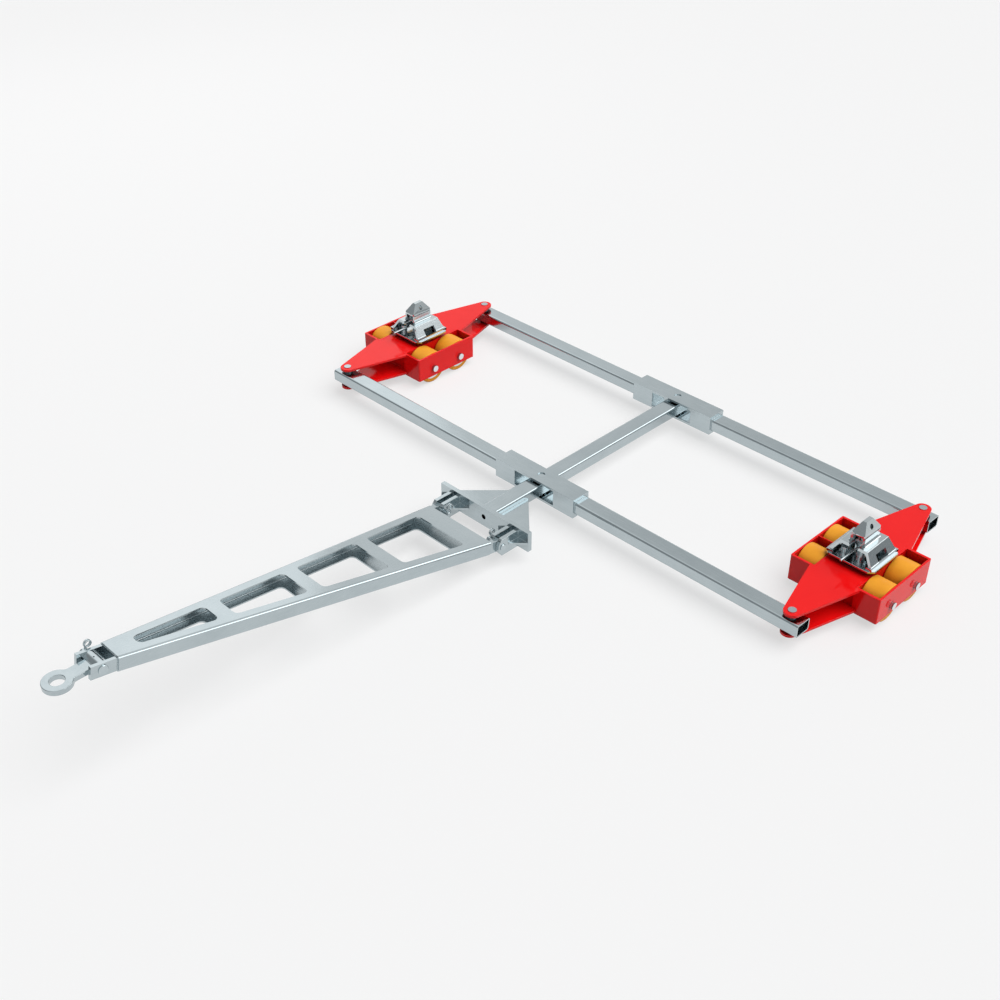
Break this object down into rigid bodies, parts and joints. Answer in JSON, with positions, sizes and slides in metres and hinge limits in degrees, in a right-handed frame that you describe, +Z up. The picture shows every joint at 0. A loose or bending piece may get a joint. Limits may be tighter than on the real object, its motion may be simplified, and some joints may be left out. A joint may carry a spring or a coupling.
{
  "type": "container moving skate",
  "caption": "Steerable container moving skate: roller skates with twist locks on a linked tube frame, steered by a folding drawbar with a towing eye.",
  "frame": {"origin": "on the floor under the middle of the object's box", "axes": "+X to the right-hand skate seen from behind the drawbar, +Y from the towing eye towards the rear beam, +Z up"},
  "size_m": [2.636, 2.8794, 0.4089],
  "materials": {
    "zinc_steel": "zinc plated, satin",
    "red_paint": "gloss paint",
    "polished_steel": "polished",
    "dark_steel": "dark, oiled",
    "tread": "smooth polyurethane",
    "roller_core": "machined"
  },
  "bodies": {
    "frame": {"centre_bar": "zinc_steel", "pivot_bushes": "zinc_steel", "cross_plate": "zinc_steel", "gusset_plates": "zinc_steel", "clevis_lugs": "zinc_steel", "clevis_pins": "zinc_steel", "clevis_clips": "zinc_steel"},
    "front_beam": {"front_sleeve": "zinc_steel", "front_tubes": "zinc_steel", "front_end_bushes": "zinc_steel", "front_pivot_pin": "zinc_steel"},
    "rear_beam": {"rear_sleeve": "zinc_steel", "rear_tubes": "zinc_steel", "rear_end_bushes": "zinc_steel", "rear_pivot_pin": "zinc_steel"},
    "drawbar": {"drawbar_upper_shell": "zinc_steel", "drawbar_lower_shell": "zinc_steel", "drawbar_ears": "zinc_steel", "drawbar_fork": "zinc_steel", "eye_pin": "zinc_steel", "eye_pin_clip": "zinc_steel"},
    "tow_eye": {"tow_eye": "zinc_steel"},
    "left_skate": {"left_top_plate": "red_paint", "left_bottom_plate": "red_paint", "left_bulkheads": "red_paint", "left_cassettes": "red_paint", "left_axles": "zinc_steel", "left_link_pins": "zinc_steel"},
    "left_lock": {"left_turntable": "dark_steel", "left_lock_base": "polished_steel", "left_lock_housing": "polished_steel"},
    "left_twist": {"left_twist_head": "polished_steel", "left_lock_lever": "polished_steel"},
    "left_front_inner_roller": {"left_front_inner_tread": "tread", "left_front_inner_core": "roller_core"},
    "left_front_outer_roller": {"left_front_outer_tread": "tread", "left_front_outer_core": "roller_core"},
    "left_rear_inner_roller": {"left_rear_inner_tread": "tread", "left_rear_inner_core": "roller_core"},
    "left_rear_outer_roller": {"left_rear_outer_tread": "tread", "left_rear_outer_core": "roller_core"},
    "right_skate": {"right_top_plate": "red_paint", "right_bottom_plate": "red_paint", "right_bulkheads": "red_paint", "right_cassettes": "red_paint", "right_axles": "zinc_steel", "right_link_pins": "zinc_steel"},
    "right_lock": {"right_turntable": "dark_steel", "right_lock_base": "polished_steel", "right_lock_housing": "polished_steel"},
    "right_twist": {"right_twist_head": "polished_steel", "right_lock_lever": "polished_steel"},
    "right_front_inner_roller": {"right_front_inner_tread": "tread", "right_front_inner_core": "roller_core"},
    "right_front_outer_roller": {"right_front_outer_tread": "tread", "right_front_outer_core": "roller_core"},
    "right_rear_inner_roller": {"right_rear_inner_tread": "tread", "right_rear_inner_core": "roller_core"},
    "right_rear_outer_roller": {"right_rear_outer_tread": "tread", "right_rear_outer_core": "roller_core"}
  },
  "joints": [
    {"name": "front_beam_steer", "type": "hinge", "parent": "frame", "child": "front_beam", "pos_m": [0, 0.58169, 0.089], "axis": [0, 0, 1], "range_deg": [-45, 45]},
    {"name": "rear_beam_steer", "type": "hinge", "parent": "frame", "child": "rear_beam", "pos_m": [0, 1.39169, 0.089], "axis": [0, 0, 1], "range_deg": [-45, 45]},
    {"name": "left_skate_steer", "type": "hinge", "parent": "front_beam", "child": "left_skate", "pos_m": [-1.1295, 0.58169, 0.089], "axis": [0, 0, 1], "range_deg": [-45, 45]},
    {"name": "left_lock_swivel", "type": "hinge", "parent": "left_skate", "child": "left_lock", "pos_m": [-1.1295, 0.98669, 0.145], "axis": [0, 0, 1], "continuous": true},
    {"name": "left_lock_twist", "type": "hinge", "parent": "left_lock", "child": "left_twist", "pos_m": [-1.1295, 0.98669, 0.195], "axis": [0, 0, 1], "range_deg": [-32, 32]},
    {"name": "left_front_inner_spin", "type": "hinge", "parent": "left_skate", "child": "left_front_inner_roller", "pos_m": [-1.00025, 0.91119, 0.07], "axis": [1, 0, 0], "continuous": true},
    {"name": "left_front_outer_spin", "type": "hinge", "parent": "left_skate", "child": "left_front_outer_roller", "pos_m": [-1.25875, 0.91119, 0.07], "axis": [1, 0, 0], "continuous": true},
    {"name": "left_rear_inner_spin", "type": "hinge", "parent": "left_skate", "child": "left_rear_inner_roller", "pos_m": [-1.00025, 1.06219, 0.07], "axis": [1, 0, 0], "continuous": true},
    {"name": "left_rear_outer_spin", "type": "hinge", "parent": "left_skate", "child": "left_rear_outer_roller", "pos_m": [-1.25875, 1.06219, 0.07], "axis": [1, 0, 0], "continuous": true},
    {"name": "right_skate_steer", "type": "hinge", "parent": "front_beam", "child": "right_skate", "pos_m": [1.1295, 0.58169, 0.089], "axis": [0, 0, 1], "range_deg": [-45, 45]},
    {"name": "right_lock_swivel", "type": "hinge", "parent": "right_skate", "child": "right_lock", "pos_m": [1.1295, 0.98669, 0.145], "axis": [0, 0, 1], "continuous": true},
    {"name": "right_lock_twist", "type": "hinge", "parent": "right_lock", "child": "right_twist", "pos_m": [1.1295, 0.98669, 0.195], "axis": [0, 0, 1], "range_deg": [-32, 32]},
    {"name": "right_front_inner_spin", "type": "hinge", "parent": "right_skate", "child": "right_front_inner_roller", "pos_m": [1.00025, 0.91119, 0.07], "axis": [1, 0, 0], "continuous": true},
    {"name": "right_front_outer_spin", "type": "hinge", "parent": "right_skate", "child": "right_front_outer_roller", "pos_m": [1.25875, 0.91119, 0.07], "axis": [1, 0, 0], "continuous": true},
    {"name": "right_rear_inner_spin", "type": "hinge", "parent": "right_skate", "child": "right_rear_inner_roller", "pos_m": [1.00025, 1.06219, 0.07], "axis": [1, 0, 0], "continuous": true},
    {"name": "right_rear_outer_spin", "type": "hinge", "parent": "right_skate", "child": "right_rear_outer_roller", "pos_m": [1.25875, 1.06219, 0.07], "axis": [1, 0, 0], "continuous": true},
    {"name": "drawbar_pitch", "type": "hinge", "parent": "frame", "child": "drawbar", "pos_m": [0, 0.20169, 0.085], "axis": [-1, 0, 0], "range_deg": [-15, 89]},
    {"name": "tow_eye_pitch", "type": "hinge", "parent": "drawbar", "child": "tow_eye", "pos_m": [0, -1.27369, 0.37179], "axis": [-1, 0, 0], "range_deg": [-75, 95]}
  ],
  "couplings": [
    {"joint": "rear_beam_steer", "follows": "front_beam_steer", "ratio": 1},
    {"joint": "left_skate_steer", "follows": "front_beam_steer", "ratio": -1},
    {"joint": "right_skate_steer", "follows": "front_beam_steer", "ratio": -1}
  ]
}
